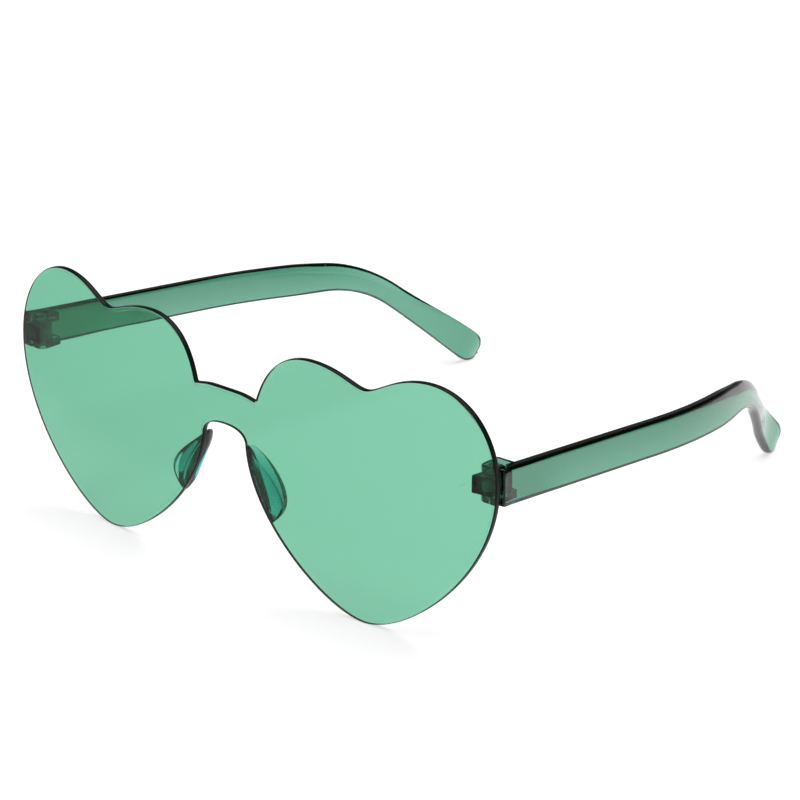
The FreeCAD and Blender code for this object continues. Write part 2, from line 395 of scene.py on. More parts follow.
inner_lobe_height = heart_height - inner_lobe_drop
cleft_height = heart_height - cleft_depth
bridge_corner = (bridge_half_width, bridge_height - bridge_corner_drop)
inner_top = (inner_lobe_x, inner_lobe_height)
cleft = (cleft_x, cleft_height)
outer_top = (outer_lobe_x, heart_height)
widest = (half_width, widest_height)
heart_tip = (heart_tip_x, 0)
nose_shoulder = (nose_half_width, nose_shoulder_height)
bridge_handle = (between(0, bridge_half_width, round_fullness), bridge_height)
corner_handle = round_fullness * (inner_lobe_height - bridge_corner[1])
nose_side_poles = [heart_tip,
                   (between(heart_tip_x, nose_half_width, tip_fullness), 0),
                   leaning(nose_shoulder, nose_side_fullness * nose_shoulder_height, -nose_side_angle),
                   nose_shoulder]
upper_curves = [
    [(0, bridge_height), bridge_handle, bridge_handle, bridge_corner],
    [bridge_corner,
     leaning(bridge_corner, corner_handle, bridge_corner_angle),
     (between(inner_lobe_x, bridge_half_width, round_fullness), inner_lobe_height),
     inner_top],
    [inner_top,
     (between(inner_lobe_x, cleft_x, lobe_fullness), inner_lobe_height),
     (between(cleft_x, inner_lobe_x, cleft_fullness), cleft_height),
     cleft],
    [cleft,
     (between(cleft_x, outer_lobe_x, cleft_fullness), cleft_height),
     (between(outer_lobe_x, cleft_x, lobe_fullness), heart_height),
     outer_top],
    [outer_top,
     (between(outer_lobe_x, half_width, round_fullness), heart_height),
     (half_width, between(widest_height, heart_height, round_fullness)),
     widest],
]
lower_curves = [
    [(0, nose_arch_height),
     (between(0, nose_half_width, round_fullness), nose_arch_height),
     (nose_half_width, between(nose_shoulder_height, nose_arch_height, nose_shoulder_fullness)),
     nose_shoulder],
    nose_side_poles[::-1],
    [heart_tip,
     (between(heart_tip_x, half_width, tip_fullness), 0),
     (half_width, between(widest_height, 0, side_fullness)),
     widest],
]


def path_of(curves):
    """Curves end to end, spaced evenly, with sharp corners averaged over a short reach."""
    points = np.vstack([bezier(poles)[:-1] for poles in curves] + [np.array([curves[-1][-1]], float)])
    length = np.concatenate([[0], np.cumsum(np.hypot(*np.diff(points, axis=0).T))])
    even = np.linspace(0, length[-1], int(length[-1] / outline_spacing))
    points = along_path(even, length, points)
    reach = int(bridge_corner_soft / outline_spacing)
    padded = np.pad(points, ((reach, reach), (0, 0)), mode="reflect", reflect_type="odd")
    kernel = np.hanning(2 * reach + 3)[1:-1]
    kernel = kernel / kernel.sum()
    return np.stack([np.convolve(padded[:, axis], kernel, mode="valid") for axis in (0, 1)], axis=1)


def inward_normals(path, below):
    """Unit normals of a path that runs outwards: below it for the upper path, above it for the lower one."""
    run = np.gradient(path, axis=0)
    run /= np.linalg.norm(run, axis=1)[:, None]
    return np.stack([run[:, 1], -run[:, 0]], axis=1) * (1 if below else -1)


def matched_columns(count, samples=40000, tie_break=1e-9):
    """Points and normals of the upper and lower outline, matched by their insets' distance from the middle.

    The columns are spread evenly over the joint length of the two outlines, so steep stretches get as many as
    level ones.
    """
    sides = []
    for curves, below in ((upper_curves, True), (lower_curves, False)):
        path = path_of(curves)
        normal = inward_normals(path, below)
        index = np.arange(len(path))
        inset_x = np.maximum.accumulate((path + lens_rim_band * normal)[:, 0])
        sides.append((path, normal, index, inset_x + index * tie_break))
    reach = np.linspace(0, min(side[-1][-1] for side in sides), samples)
    measure = sum(np.interp(reach, inset_x, index) for _, _, index, inset_x in sides)
    x = np.interp(np.linspace(0, measure[-1], count), measure, reach)
    result = []
    for path, normal, index, inset_x in sides:
        station = np.interp(x, inset_x, index)
        station[-1] = index[-1]
        turn = along_path(station, index, normal)
        turn /= np.linalg.norm(turn, axis=1)[:, None]
        turn[0, 0] = 0
        result.append((along_path(station, index, path), turn))
    return result


def sphere_normals(mesh):
    """Gives every point of the lens's two spheres its sphere's own normal, the line through their centre."""
    points = np.empty(3 * len(mesh.vertices), np.float32)
    normals = np.empty(3 * len(mesh.vertices), np.float32)
    mesh.vertices.foreach_get("co", points)
    mesh.vertices.foreach_get("normal", normals)
    centre = MM * np.array([0, front_y + lens_front_radius, lens_vertex_height])
    ray = points.reshape(-1, 3).astype(float) - centre
    distance = np.linalg.norm(ray, axis=1)
    normals = normals.reshape(-1, 3).astype(float)
    for radius, facing in ((lens_front_radius, 1), (lens_front_radius - lens_thickness, -1)):
        on_sphere = np.abs(distance - radius * MM) < sphere_tolerance * MM
        normals[on_sphere] = facing * ray[on_sphere] / distance[on_sphere, None]
    mesh.normals_split_custom_set_from_vertices(normals)


def lens_sheet(columns=300, interior=12, rim_steps=4):
    """The lens as a profile carried round its outline.

    The profile runs over the front face from a middle line to the rim, round the rim and back over the rear
    face. Each face lies on a sphere about one centre. The rim's corners are quarter rounds and its wall is
    parallel to Y. A step, as wide as it is high, runs round the rear face, a rim band inside the edge. The
    wall and most of both rounds take the second finish, a painted shade that is opaque and nearly black in
    place of the clear plastic.
    """
    (upper, upper_turn), (lower, lower_turn) = matched_columns(columns)
    middle = (upper + lower) / 2
    reach = middle[:, 0] / middle[-1, 0]
    middle[:, 0] *= 1 - spine_end_pull * reach ** spine_end_power
    flip = np.array([-1, 1])

    def loop(top, bottom):
        """The upper and lower rows of the left half, and their mirror images, as one ring."""
        left_half = np.vstack([top, bottom[-2::-1]])
        right_half = np.vstack([bottom[1:], top[-2:0:-1]]) * flip
        return np.vstack([left_half, right_half])

    outline = loop(upper, lower)
    turn = loop(upper_turn, lower_turn)
    spine = loop(middle, middle)
    share = np.linspace(1, 0, interior)[:, None, None]
    face = spine * share + (outline + (lens_rim_band + lens_step) * turn) * (1 - share)

    def half(rounding, behind, towards_back, step):
        """Rows of one face from the middle line over the step to the end of its rim round."""
        round_inset, round_lift = quarter_round(rounding, rim_steps + 1)
        band_inset = [lens_rim_band, lens_rim_band - lens_step, lens_rim_band - 2 * lens_step,
                      (lens_rim_band + rounding) / 2, rounding + lens_rim_shoulder]
        inset = np.concatenate([band_inset, round_inset])
        rim_lift = np.concatenate([np.zeros(len(band_inset)), round_lift])
        rim_lift += step * (inset < lens_rim_band - lens_step / 2)
        lift = np.concatenate([np.zeros(interior), rim_lift])[:, None]
        plane = np.vstack([face, outline + inset[:, None, None] * turn])
        depth = lens_depth(plane[..., 0], plane[..., 1], behind) + towards_back * lift
        return behind_front(plane, depth)

    front = half(lens_front_round, 0, 1, 0)
    rear = half(lens_back_round, lens_thickness, -1, lens_step)
    sheet = mesh_object("lens_sheet", [welded(*rows_to_mesh(np.vstack([front, rear[::-1]])))])
    wall = len(front) - 1
    # Painted shade: the rim's wall and most of its rounds take the opaque, nearly black second finish
    shade_strip = np.arange((wall - rim_steps + 1) * len(outline), (wall + rim_steps) * len(outline))
    slots = np.zeros(len(sheet.data.polygons), np.int32)
    slots[shade_strip] = 1
    sheet.data.polygons.foreach_set("material_index", slots)
    sphere_normals(sheet.data)
    return sheet


# Nose pads
def arc(start, through, end, count):
    """Points of the circle through three points, from the first to the last by way of the second."""
    (ax, ay), (bx, by), (cx, cy) = start, through, end
    scale = 2 * (ax * (by - cy) + bx * (cy - ay) + cx * (ay - by))
    a, b, c = ax ** 2 + ay ** 2, bx ** 2 + by ** 2, cx ** 2 + cy ** 2
    centre = np.array([(a * (by - cy) + b * (cy - ay) + c * (ay - by)) / scale,
                       (a * (cx - bx) + b * (ax - cx) + c * (bx - ax)) / scale])
    angles = np.unwrap([math.atan2(y - centre[1], x - centre[0]) for x, y in (start, through, end)])
    radius = math.hypot(ax - centre[0], ay - centre[1])
    return centre + radius * directions(np.linspace(angles[0], angles[2], count))


def nose_edge(height, samples=4000):
    """Distance of the lens's nose edge from the middle at given heights, read off its curve."""
    curve = bezier(nose_side_poles, samples)
    return np.interp(height, curve[:, 1], curve[:, 0])


def softened(corner, before, after, reach, count=7, most=0.45):
    """A corner rounded by a parabola whose ends lie a reach, but at most a share, along its sides."""
    ends = []
    for side in (before - corner, after - corner):
        share = np.minimum(reach / np.linalg.norm(side, axis=-1), most)
        ends.append(corner + side * share[..., None])
    first, last = ends
    share = np.linspace(0, 1, count)[:, None, None]
    return (1 - share) ** 2 * first + 2 * share * (1 - share) * corner + share ** 2 * last


def nose_pad(name, side, stations=70, foot_rows=5, samples=600):
    """A keel on the lens's back: a slanted nose face, a crown and a cheek face on a half-moon foot.

    The foot lies between an arc along the nose edge and a fuller leaf on the cheek side. The keel's rise
    follows a superellipse that is fuller at the top. Its crown leans towards the nose: low on that side, high
    on the cheek side.
    """
    ends = np.array([pad_top_height, (pad_top_height + pad_bottom_height) / 2, pad_bottom_height])
    edge = nose_edge(ends) + pad_edge_inset
    points = np.stack([edge, ends], axis=1)
    share = (1 - np.cos(np.linspace(0, math.pi, stations + 2)[1:-1])) / 2
    nose = along_path(share, np.linspace(0, 1, samples), arc(*points, samples))
    warped = share ** (math.log(0.5) / math.log(pad_widest_share))
    spread = (4 * warped * (1 - warped)) ** pad_leaf_power
    cheek = nose + np.stack([pad_width * spread, 0 * spread], axis=1)
    fullness = np.where(share < 0.5, pad_top_fullness, pad_bottom_fullness)
    rise = (1 - np.abs(2 * share - 1) ** fullness) ** (1 / fullness)
    width = cheek - nose
    crown_nose = nose + width * (pad_splay / pad_width * rise)[:, None]
    crown_cheek = cheek - width * (pad_outer_draft / pad_width * rise)[:, None]
    foot_edge = cheek - width * (pad_foot_width / pad_width * rise)[:, None]

    def above_bond(plan, height):
        """Points at heights above the bond with the lens's back."""
        bond = lens_depth(plan[..., 0], plan[..., 1], lens_thickness) - bond_depth
        return behind_front(plan, bond + height)

    foot_nose = above_bond(nose, 0 * rise)
    foot_cheek = above_bond(cheek, 0 * rise)
    top_nose = above_bond(crown_nose, pad_nose_depth * rise)
    top_cheek = above_bond(crown_cheek, pad_depth * rise)
    flange = above_bond(foot_edge, pad_foot_depth * rise)
    across = np.linspace(0, 1, foot_rows + 2)[1:-1, None, None]
    foot = above_bond(cheek + (nose - cheek) * across, np.zeros((foot_rows, stations)))
    ring = np.concatenate([foot_cheek[None], foot, foot_nose[None],
                           softened(top_nose, foot_nose, top_cheek, pad_edge_round),
                           softened(top_cheek, top_nose, flange, pad_edge_round),
                           softened(flange, top_cheek, foot_cheek, pad_foot_round)])
    poles = [above_bond(points[0], 0), above_bond(points[2], 0)]
    return mesh_object(name, [rows_to_mesh(ring.transpose(1, 0, 2), poles)], side)


# Hinges
def circle(radius, start=0.0, end=360.0, count=48):
    """Points on a circle about the hinge axis, between two angles from X."""
    angle = np.radians(np.linspace(start, end, count, endpoint=end - start < 360))
    return np.array([hinge_x, hinge_y]) + radius * directions(angle)


def upright_prism(outline, bottom, top, edge_round, round_rows=4, shortest=1e-9):
    """A plan outline carried up a wall whose upper and lower edges are quarter rounds."""
    centre = outline.mean(axis=0)
    run = np.roll(outline, -1, axis=0) - np.roll(outline, 1, axis=0)
    inward = np.stack([-run[:, 1], run[:, 0]], axis=1)
    area = np.sum(outline[:, 0] * np.roll(outline[:, 1], -1) - outline[:, 1] * np.roll(outline[:, 0], -1))
    inward *= math.copysign(1, area) / np.maximum(np.linalg.norm(inward, axis=1), shortest)[:, None]
    inset, rise = quarter_round(edge_round, round_rows)
    inset = np.concatenate([inset, inset[::-1]])
    height = np.concatenate([bottom + rise, top - rise[::-1]])
    plan = outline + inset[:, None, None] * inward
    rows = np.concatenate([plan, np.broadcast_to(height[:, None, None], plan.shape[:2] + (1,))], axis=-1)
    return rows_to_mesh(rows, [np.append(centre, bottom), np.append(centre, top)])


def screw_hole():
    """A pin through the whole hinge, to be cut away for the screw."""
    bottom = barrel_bottom - arm_height
    top = barrel_top + arm_height
    return upright_prism(circle(screw_hole_radius), bottom, top, cut_edge_round)


def hinge_bracket(name, side):
    """A flared foot on the lens's back that carries the middle knuckle, with a hole for the screw."""
    foot_x = np.array([hinge_x + knuckle_radius, hinge_x - knuckle_radius - bracket_foot_flare])
    foot_y = front_y + lens_depth(foot_x, hinge_height, lens_thickness) - bracket_bond_depth
    foot = np.stack([foot_x, foot_y], axis=1)
    outline = np.vstack([circle(knuckle_radius, 0, 180, count=33), foot[::-1]])
    bracket = mesh_object(name, [upright_prism(outline, knuckle_bottom, knuckle_top, hinge_edge_round)], side)
    combine(bracket, mesh_object("screw_hole", [screw_hole()], side), "DIFFERENCE")
    return bracket


# Temples
arm_angle = math.radians(arm_drop_angle)
ear_angle = math.radians(ear_drop_angle)
bend_turn = ear_angle - arm_angle
bend_reach = bend_radius * math.tan(bend_turn / 2)
bend_start = arm_length - bend_reach
neck_start = arm_length - neck_start_reach
neck_at = bend_start + bend_radius * bend_turn
neck_above_table = hinge_height - arm_length * math.sin(arm_angle) - bend_reach * math.sin(ear_angle)
paddle_power = paddle_end_fullness / (paddle_end_fullness - 1)
paddle_rest = ((paddle_end_length * math.sin(ear_angle)) ** paddle_power
               + (paddle_width / 2 * math.cos(ear_angle)) ** paddle_power) ** (1 / paddle_power)
paddle_at = neck_at + (neck_above_table - paddle_rest) / math.sin(ear_angle)


def temple_frames(along):
    """Middle points and the across, upward and forward directions of a temple at distances from the hinge.

    Seen from the side the middle line is a straight arm, an arc and a straight ear piece. Seen from above it
    is straight, then bows inwards on one arc and flares out again on another.
    """
    angle = arm_angle + np.clip(along - bend_start, 0, bend_radius * bend_turn) / bend_radius
    straight = np.minimum(along, bend_start)
    ear = np.maximum(along - neck_at, 0)
    depth = hinge_depth + straight * math.cos(arm_angle) + ear * math.cos(ear_angle)
    depth += bend_radius * (np.sin(angle) - math.sin(arm_angle))
    height = hinge_height - straight * math.sin(arm_angle) - ear * math.sin(ear_angle)
    height -= bend_radius * (math.cos(arm_angle) - np.cos(angle))
    reach = depth - hinge_depth
    toe_in = math.radians(temple_toe_in_angle)
    bowed = np.clip(reach - temple_straight_length, 0, temple_bow_length)
    flared = np.maximum(reach - temple_straight_length - temple_bow_length, 0)
    bow_yaw = np.arcsin(math.sin(toe_in) + bowed / temple_bow_radius)
    yaw = np.arcsin(np.sin(bow_yaw) - flared / temple_flare_radius)
    x = temple_x - np.minimum(reach, temple_straight_length) * math.tan(toe_in)
    x -= temple_bow_radius * (math.cos(toe_in) - np.cos(bow_yaw))
    x -= temple_flare_radius * (np.cos(yaw) - np.cos(bow_yaw))
    across = np.stack([np.cos(yaw), np.sin(yaw), np.zeros_like(yaw)], axis=1)
    forward = np.stack([-np.sin(yaw) * np.cos(angle), np.cos(yaw) * np.cos(angle), -np.sin(angle)], axis=1)
    middle = np.stack([x, front_y + depth, height], axis=1)
    return middle, across, np.cross(across, forward), forward


def temple_rings(along, end_share, corner_steps=7):
    """Rounded rectangles across a temple; end_share draws them in over the paddle's end, on superellipses.

    Along the arm the inner face leans out downwards, so that the arm is thin at its lower edge. The upper
    rounds are drawn out downwards at the bend. A row beside each round holds the flat faces flat.
    """
    middle, across, upward, _ = temple_frames(along)
    tall = ease(along, neck_start, neck_at, arm_height, neck_height)
    tall = tall + ease(along, neck_at, paddle_at, 0, paddle_width - neck_height)
    thick = ease(along, neck_start, neck_at, temple_thickness, temple_neck_thickness)
    thick = thick + ease(along, neck_at, paddle_at, 0, temple_tip_thickness - temple_neck_thickness)
    half_tall = tall / 2 * (1 - end_share ** paddle_end_fullness) ** (1 / paddle_end_fullness)
    half_thick = thick / 2 * (1 - end_share ** 2) ** paddle_tip_power
    smaller = np.minimum(half_tall, half_thick)[:, None]
    corner = np.repeat(np.arange(4), corner_steps + 2)
    step = np.tile(np.concatenate([[0], np.linspace(0, 1, corner_steps), [1]]), 4)
    beside = np.tile(np.concatenate([[-1], np.zeros(corner_steps), [1]]), 4)
    turn = math.pi / 2 * (corner + step)
    sign_x = np.array([1, -1, -1, 1])[corner]
    sign_y = np.array([1, 1, -1, -1])[corner]
    upper = ease(along, neck_start, bend_start, arm_edge_round, ear_edge_round)[:, None]
    upper = upper - ease(along, neck_at, paddle_at, 0, ear_edge_round - paddle_edge_round)[:, None]
    under = ease(along, neck_start, neck_at, under_edge_round, ear_edge_round)[:, None]
    rounding = np.minimum(np.where(sign_y > 0, upper, under), fullest_round_share * smaller)
    stretch = ease(along, neck_start - bend_stretch_lead, bend_start, 1, bend_edge_stretch)
    stretch = stretch - ease(along, neck_at - bend_stretch_tail, paddle_at, 0, bend_edge_stretch - 1)
    tall_rounding = rounding * np.where(sign_y > 0, stretch[:, None], 1)
    support = edge_support_share * (smaller - rounding) * beside
    wedge = ease(along, wedge_start, wedge_full, 0, temple_wedge)
    wedge = wedge - ease(along, neck_start, neck_at, 0, temple_wedge)
    wide = sign_x * (half_thick[:, None] - rounding) + rounding * np.cos(turn) - support * np.sin(turn)
    wide = wide + np.where((sign_x < 0) & (sign_y < 0), wedge[:, None], 0)
    high = sign_y * (half_tall[:, None] - tall_rounding) + tall_rounding * np.sin(turn)
    high = high + support * np.cos(turn)
    return middle[:, None] + wide[..., None] * across[:, None] + high[..., None] * upward[:, None]


def temple_arm(straight_rings=18, end_rings=16, front_rows=5):
    """Rings from the butt end, which follows the lens's back, to the paddle's end, and the gate's nub."""
    end_share = np.sin(np.linspace(0, paddle_last_ring, end_rings)[1:] * math.pi / 2)
    stretches = [(temple_straight_length, bend_start, 26),
                 (bend_start, neck_at, 34),
                 (neck_at, paddle_at, 30)]
    along = np.concatenate([np.linspace(arm_first_ring, temple_straight_length, straight_rings)]
                           + [np.linspace(start, end, rings)[1:] for start, end, rings in stretches]
                           + [paddle_at + paddle_end_length * end_share])
    share = np.concatenate([np.zeros(len(along) - len(end_share)), end_share])
    body = temple_rings(along, share)
    butt = temple_rings(np.array([butt_section_depth - hinge_depth]), np.zeros(1))[0]
    centre = butt.mean(axis=0)
    round_inset, round_lift = quarter_round(temple_front_round, front_rows)
    inset = np.concatenate([butt_face_insets, round_inset])
    lift = np.concatenate([np.zeros(len(butt_face_insets)), round_lift])
    size = np.abs(butt - centre).max(axis=0)
    scale = np.stack([1 - inset / size[0], np.ones_like(inset), 1 - inset / size[2]], axis=1)
    front = centre + (butt - centre) * scale[:, None]
    stop = lens_thickness + temple_stop_gap
    run = front_y + lens_depth(front[..., 0], front[..., 2], stop) + lift[:, None] - front[..., 1]
    front[..., 1] += run
    front[..., 2] -= run * math.tan(arm_angle)
    rows = np.vstack([front, body])
    pole_front = front[0].mean(axis=0)
    tip, _, _, forward = temple_frames(np.array([paddle_at + paddle_end_length]))
    return rows_to_mesh(rows, [pole_front, tip[0]]), gate_nub(tip[0], forward[0])


def gate_nub(tip, forward, sides=20):
    """The stub that the moulding gate leaves at the paddle's end: a short round pin with a soft rim."""
    across = np.cross(forward, [0, 0, 1.0])
    across /= np.linalg.norm(across)
    upward = np.cross(across, forward)
    radius_shares = np.array([1, 1, 0.95, 0.8])
    reach_shares = np.array([-1, 0.8, 0.95, 1])
    angle = np.linspace(0, 2 * math.pi, sides, endpoint=False)[None, :, None]
    radius = (gate_nub_radius * radius_shares)[:, None, None]
    ahead = (gate_nub_length * reach_shares)[:, None, None]
    rows = tip + ahead * forward + radius * (np.cos(angle) * across + np.sin(angle) * upward)
    return rows_to_mesh(rows, [rows[0].mean(axis=0), rows[-1].mean(axis=0)])


def lug_outline():
    """Plan of a lug: a round barrel about the hinge axis that runs back into a block on the inner face."""
    back = hinge_y + lug_length
    inner = hinge_x - knuckle_radius
    corner = np.array([inner + lug_corner_round, back - lug_corner_round])
    rounded = corner + lug_corner_round * directions(np.radians(np.linspace(180, 90, 9)))
    outer = np.array([[temple_x, back], [temple_x, hinge_y]])
    return np.vstack([circle(knuckle_radius, 360, 180, count=33), rounded, outer])


def pocket_outline():
    """Plan of the room for the knuckle: round at the back and straight towards the lens."""
    reach = knuckle_radius + pocket_clearance
    mouth = np.array([[hinge_x - reach, front_y], [hinge_x + reach, front_y]])
    return np.vstack([circle(reach, 0, 180, count=41), mouth])


def temple(name, side):
    """The arm with two hinge lugs, the knuckle's pocket, the screw's hole and seat, and the gate's nub."""
    body, nub = temple_arm()
    arm = mesh_object(name, [body], side)
    lugs = [upright_prism(lug_outline(), bottom, top, hinge_edge_round)
            for bottom, top in ((slot_top, barrel_top), (barrel_bottom, slot_bottom))]
    combine(arm, mesh_object("lugs", lugs + [nub], side), "UNION")
    pocket = upright_prism(pocket_outline(), slot_bottom, slot_top, cut_edge_round)
    seat_bottom = barrel_top - screw_head_seat
    seat = upright_prism(circle(screw_head_hole_radius), seat_bottom, barrel_top + arm_height, cut_edge_round)
    combine(arm, mesh_object("openings", [pocket, screw_hole(), seat], side), "DIFFERENCE")
    arm.data.polygons.foreach_set("use_smooth", np.ones(len(arm.data.polygons), bool))
    arm.data.set_sharp_from_angle(angle=math.radians(smooth_angle))
    return arm


# Nodes
def scalar_math(tree, operation):
    """A node that works on numbers."""
    node = tree.nodes.new("ShaderNodeMath")
    node.operation = operation
    return node


def vector_math(tree, operation):
    """A node that works on vectors."""
    node = tree.nodes.new("ShaderNodeVectorMath")
    node.operation = operation
    return node


def link_up(tree, pairs):
    """Links each output to the input beside it."""
    for output, socket in pairs:
        tree.links.new(output, socket)


def new_material(name):
    """A material with its node tree and its shader."""
    material = bpy.data.materials.new(name)
    material.use_nodes = True
    return material, material.node_tree, material.node_tree.nodes["Principled BSDF"]


# Shared effects
def effect_group(name, inputs, outputs):
    """An empty shader group with float and vector inputs and outputs, and its two end nodes."""
    group = bpy.data.node_groups.new(name, "ShaderNodeTree")
    for label, kind, value in inputs:
        socket = group.interface.new_socket(label, in_out="INPUT", socket_type=kind)
        socket.default_value = value
    for label, kind in outputs:
        group.interface.new_socket(label, in_out="OUTPUT", socket_type=kind)
    return group, group.nodes.new("NodeGroupInput"), group.nodes.new("NodeGroupOutput")


def moulded_skin_group():
    """The skin of a moulded piece: a slow ripple and the ring of one ejector pin, as a normal.

    The ring is where the distance from the mark's centre equals its radius, to within half a line.
    """
    inputs = [("Ripple Scale", "NodeSocketFloat", ripple_scale),
              ("Mark Centre", "NodeSocketVector", (0, 0, 0)),
              ("Mark Radius", "NodeSocketFloat", mark_radius * MM),
              ("Strength", "NodeSocketFloat", skin_strength)]
    group, start, end = effect_group("moulded_skin", inputs, [("Normal", "NodeSocketVector")])
    coordinates = group.nodes.new("ShaderNodeTexCoord")
    ripple = group.nodes.new("ShaderNodeTexNoise")
    ripple.inputs["Detail"].default_value = ripple_detail
    mirrored = vector_math(group, "ABSOLUTE")
    away = vector_math(group, "DISTANCE")
    ring = scalar_math(group, "COMPARE")
    ring.inputs[2].default_value = mark_half_line * MM
    height = scalar_math(group, "MULTIPLY_ADD")
    height.inputs[1].default_value = mark_rise
    bump = group.nodes.new("ShaderNodeBump")
    bump.inputs["Distance"].default_value = skin_depth * MM
    link_up(group, [
        (coordinates.outputs["Object"], ripple.inputs["Vector"]),
        (start.outputs["Ripple Scale"], ripple.inputs["Scale"]),
        (coordinates.outputs["Object"], mirrored.inputs[0]),
        (mirrored.outputs["Vector"], away.inputs[0]),
        (start.outputs["Mark Centre"], away.inputs[1]),
        (away.outputs["Value"], ring.inputs[0]),
        (start.outputs["Mark Radius"], ring.inputs[1]),
        (ring.outputs[0], height.inputs[0]),
        (ripple.outputs["Fac"], height.inputs[2]),
        (height.outputs[0], bump.inputs["Height"]),
        (start.outputs["Strength"], bump.inputs["Strength"]),
        (bump.outputs["Normal"], end.inputs["Normal"]),
    ])
    return group


def turned_rings_group():
    """Fine rings about the upright line through a given point, as a normal and a roughness.

    The distance from the line, in pitches, runs up and down between 0 and a half.
    """
    inputs = [("Centre", "NodeSocketVector", (0, 0, 0)), ("Pitch", "NodeSocketFloat", ring_pitch * MM)]
    outputs = [("Normal", "NodeSocketVector"), ("Roughness", "NodeSocketFloat")]
    group, start, end = effect_group("turned_rings", inputs, outputs)
    coordinates = group.nodes.new("ShaderNodeTexCoord")
    mirrored = vector_math(group, "ABSOLUTE")
    offset = vector_math(group, "SUBTRACT")
    flat = vector_math(group, "MULTIPLY")
    flat.inputs[1].default_value = (1, 1, 0)
    away = vector_math(group, "LENGTH")
    turns = scalar_math(group, "DIVIDE")
    wave = scalar_math(group, "PINGPONG")
    wave.inputs[1].default_value = 0.5
    bump = group.nodes.new("ShaderNodeBump")
    bump.inputs["Strength"].default_value = ring_strength
    bump.inputs["Distance"].default_value = ring_depth * MM
    level = group.nodes.new("ShaderNodeMapRange")
    level.inputs["From Max"].default_value = 0.5
    level.inputs["To Min"].default_value = ring_smoothest
    level.inputs["To Max"].default_value = ring_roughest
    link_up(group, [
        (coordinates.outputs["Object"], mirrored.inputs[0]),
        (mirrored.outputs["Vector"], offset.inputs[0]),
        (start.outputs["Centre"], offset.inputs[1]),
        (offset.outputs["Vector"], flat.inputs[0]),
        (flat.outputs["Vector"], away.inputs[0]),
        (away.outputs["Value"], turns.inputs[0]),
        (start.outputs["Pitch"], turns.inputs[1]),
        (turns.outputs[0], wave.inputs[0]),
        (wave.outputs[0], bump.inputs["Height"]),
        (wave.outputs[0], level.inputs["Value"]),
        (bump.outputs["Normal"], end.inputs["Normal"]),
        (level.outputs["Result"], end.inputs["Roughness"]),
    ])
    return group


moulded_skin = moulded_skin_group()
turned_rings = turned_rings_group()


def unsigned_metres(*point):
    """A point in metres without its signs, as the effects read it, so that one point serves both sides."""
    return [abs(value) * MM for value in point]


# Finishes
def clear_plastic(name, tint, roughness, mark=(0, 0, 0)):
    """Clear tinted plastic: moulded glassy walls, and light lost inside by the length of its way.

    Left at the origin, where there is no plastic, the ejector mark doesn't show.
    """
    material, tree, shader = new_material(name)
    shader.inputs["Base Color"].default_value = (1, 1, 1, 1)
    shader.inputs["Transmission Weight"].default_value = 1
    shader.inputs["Roughness"].default_value = roughness
    shader.inputs["IOR"].default_value = plastic_ior
    skin = tree.nodes.new("ShaderNodeGroup")
    skin.node_tree = moulded_skin
    skin.inputs["Mark Centre"].default_value = unsigned_metres(*mark)
    depth = tree.nodes.new("ShaderNodeVolumeAbsorption")
    density = max(tint) * density_margin / MM
    depth.inputs["Density"].default_value = density
    depth.inputs["Color"].default_value = [1 - share / MM / density for share in tint] + [1]
    link_up(tree, [
        (skin.outputs["Normal"], shader.inputs["Normal"]),
        (depth.outputs["Volume"], tree.nodes["Material Output"].inputs["Volume"]),
    ])
    return material


def painted_rim_shade(name):
    """The sheet's cut edge in painted shade: an opaque, nearly black coat for the dark that the dye gives
    across the sheet's whole width, with a dull gloss.
    """
    material, _, shader = new_material(name)
    shader.inputs["Base Color"].default_value = rim_shade_colour
    shader.inputs["Roughness"].default_value = edge_roughness
    shader.inputs["Specular IOR Level"].default_value = edge_specular
    return material


def turned_steel(name):
    """Turned steel: fine rings of bump and roughness about the screw's axis."""
    material, tree, shader = new_material(name)
    shader.inputs["Base Color"].default_value = steel_colour
    shader.inputs["Metallic"].default_value = 1
    rings = tree.nodes.new("ShaderNodeGroup")
    rings.node_tree = turned_rings
    rings.inputs["Centre"].default_value = unsigned_metres(hinge_x, hinge_y, 0)
    link_up(tree, [
        (rings.outputs["Normal"], shader.inputs["Normal"]),
        (rings.outputs["Roughness"], shader.inputs["Roughness"]),
    ])
    return material


ejector_mark = (temple_x - temple_thickness / 2, hinge_y + mark_reach, hinge_height + mark_height)
lens_plastic = clear_plastic("lens_plastic", lens_tint, polished_roughness)
temple_plastic = clear_plastic("temple_plastic", temple_tint, polished_roughness, ejector_mark)
pad_plastic = clear_plastic("pad_plastic", pad_tint, polished_roughness)
bracket_plastic = clear_plastic("bracket_plastic", bracket_tint, bracket_roughness)
steel = turned_steel("turned_steel")
# The lens's rim gets painted shade: an opaque, nearly black finish in place of clear plastic
rim_shade_finish = painted_rim_shade("lens_rim_painted_shade")

# Every piece on its body
place(lens_sheet(), [lens_plastic, rim_shade_finish], "lens_shield", "front")
for word, side in (("left", 1), ("right", -1)):
    pad = nose_pad(f"{word}_pad", side)
    place(pad, [pad_plastic], f"{word}_nose_pad", "front")
    bracket = hinge_bracket(f"{word}_bracket", side)
    place(bracket, [bracket_plastic], f"{word}_hinge_bracket", "front")
    arm = temple(f"{word}_arm", side)
    place(arm, [temple_plastic], f"{word}_temple", f"{word}_temple")
    screw = frame["nodes"][f"{word}_hinge_screw"]
    screw.data.materials.clear()
    screw.data.materials.append(steel)


